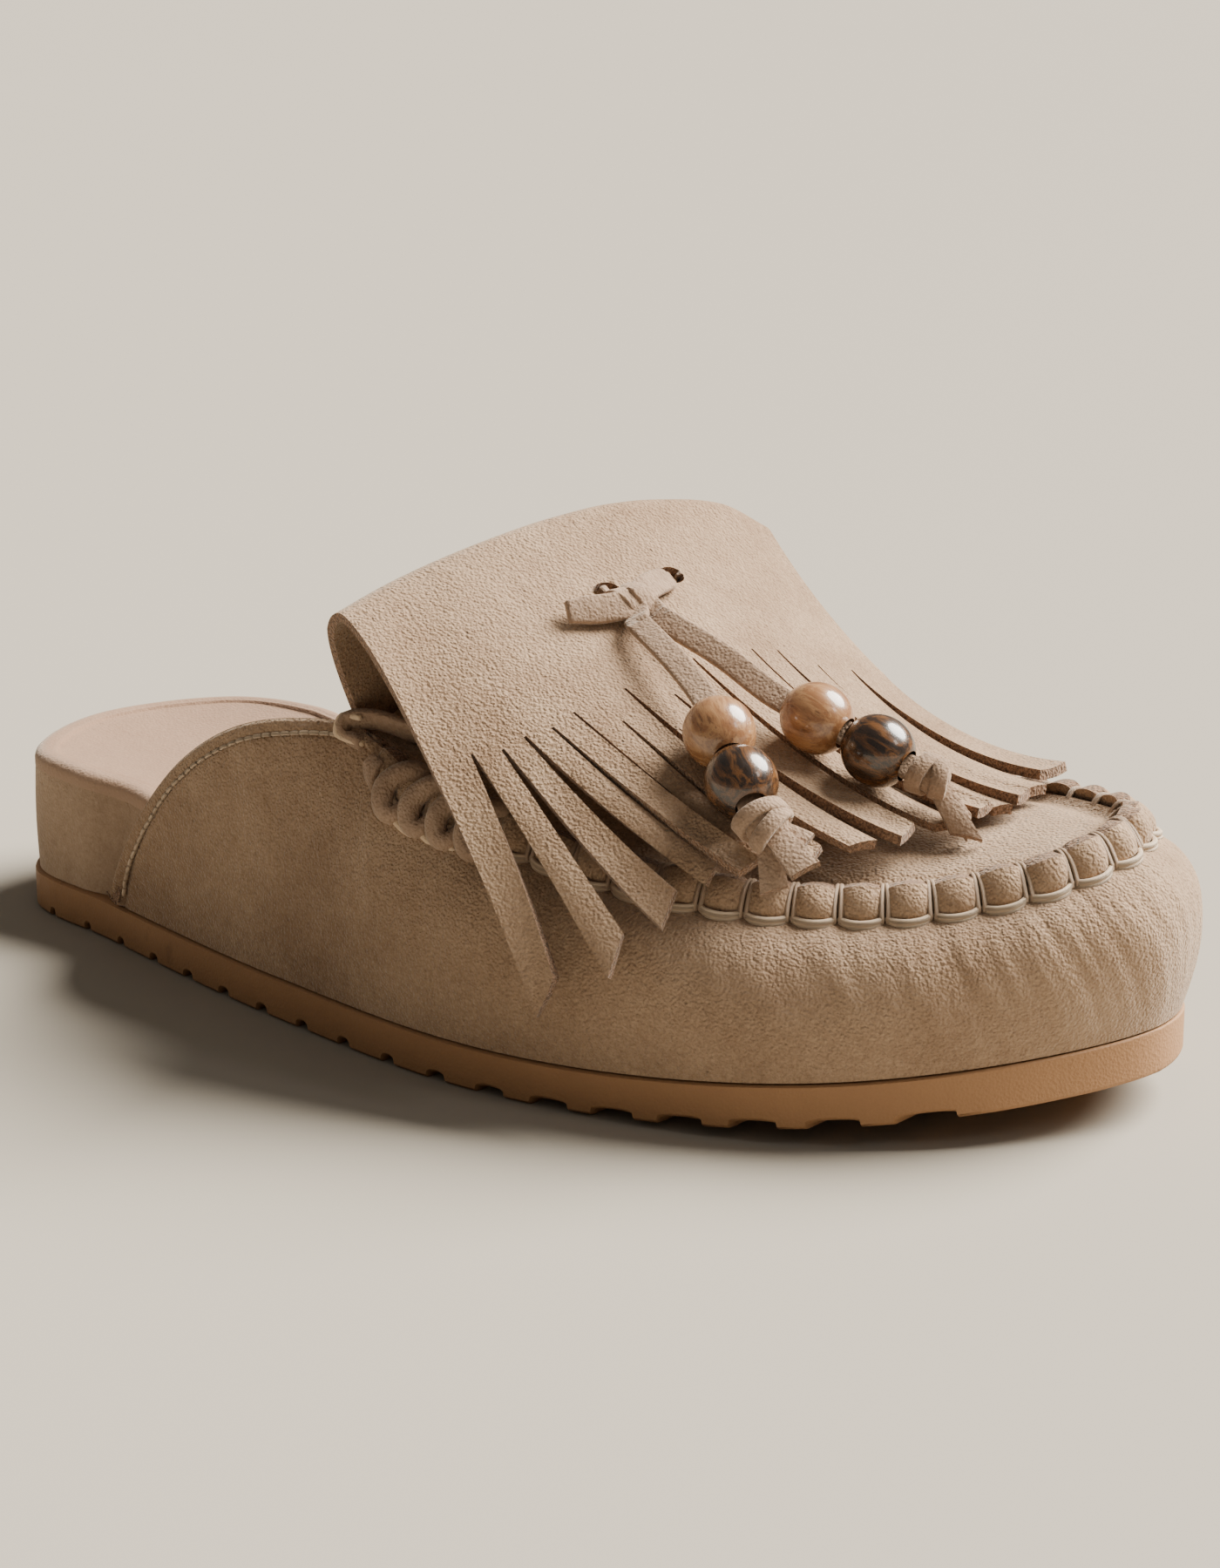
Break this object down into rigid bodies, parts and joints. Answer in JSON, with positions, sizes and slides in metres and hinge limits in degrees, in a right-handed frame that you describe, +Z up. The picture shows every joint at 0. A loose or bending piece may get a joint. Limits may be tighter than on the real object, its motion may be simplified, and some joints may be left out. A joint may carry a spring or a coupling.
{
  "type": "moccasin clog",
  "caption": "Backless suede moccasin clog for the right foot: gathered apron toe, fringed fold-over kiltie with lace tassels and wooden beads, cork footbed, foam outsole.",
  "frame": {"origin": "on the ground under the middle of the outsole's length", "axes": "+X to the toe, +Y to the inner side of the right foot, +Z up"},
  "size_m": [0.2546, 0.1072, 0.092],
  "materials": {
    "suede": "napped suede, matt",
    "wrap_suede": "napped suede, matt",
    "footbed_suede": "napped suede, matt",
    "foam": "moulded foam, satin",
    "cork": "pressed cork, matt",
    "jute": "woven jute, matt",
    "thread": "waxed thread",
    "stitching": "thread",
    "tan_wood": "polished",
    "dark_wood": "polished"
  },
  "bodies": {
    "shoe": {"outsole": "foam", "lower_jute_layer": "jute", "cork_core": "cork", "upper_jute_layer": "jute", "footbed_lining": "footbed_suede", "footbed_wrap": "wrap_suede", "vamp": "suede", "apron": "suede", "apron_thread": "thread", "collar_thread_right": "stitching", "collar_thread_left": "stitching", "side_lace_right": "suede", "side_lace_left": "suede", "kiltie_tongue": "suede"},
    "flap": {"kiltie_flap": "suede", "lace_bridge": "suede", "lace_knot": "suede"},
    "tassel_right": {"lace_tail_right": "suede", "end_knot_right": "suede"},
    "tan_right": {"bead_tan_right": "tan_wood"},
    "dark_right": {"bead_dark_right": "dark_wood"},
    "tassel_left": {"lace_tail_left": "suede", "end_knot_left": "suede"},
    "tan_left": {"bead_tan_left": "tan_wood"},
    "dark_left": {"bead_dark_left": "dark_wood"}
  },
  "joints": [
    {"name": "flap_lift", "type": "hinge", "parent": "shoe", "child": "flap", "pos_m": [0.0039, 0.0126, 0.092], "axis": [-0.2145, -0.9767, 0], "range_deg": [0, 75]},
    {"name": "tassel_lift_right", "type": "hinge", "parent": "flap", "child": "tassel_right", "pos_m": [0.0297, -0.00448, 0.07715], "axis": [0.0732, -0.9973, 0], "range_deg": [0, 85]},
    {"name": "tan_bead_spin_right", "type": "hinge", "parent": "tassel_right", "child": "tan_right", "pos_m": [0.0635, -0.002, 0.0638], "axis": [0.9386, 0.1298, -0.3195], "continuous": true},
    {"name": "dark_bead_spin_right", "type": "hinge", "parent": "tassel_right", "child": "dark_right", "pos_m": [0.07552, -0.00035, 0.05972], "axis": [0.9386, 0.1298, -0.3195], "continuous": true},
    {"name": "tassel_lift_left", "type": "hinge", "parent": "flap", "child": "tassel_left", "pos_m": [0.02863, -0.00937, 0.07715], "axis": [-0.3737, -0.9275, 0], "range_deg": [0, 85]},
    {"name": "tan_bead_spin_left", "type": "hinge", "parent": "tassel_left", "child": "tan_left", "pos_m": [0.0565, -0.0206, 0.0638], "axis": [0.7594, -0.4796, -0.4396], "continuous": true},
    {"name": "dark_bead_spin_left", "type": "hinge", "parent": "tassel_left", "child": "dark_left", "pos_m": [0.06618, -0.02675, 0.05811], "axis": [0.7594, -0.4796, -0.4396], "continuous": true}
  ]
}
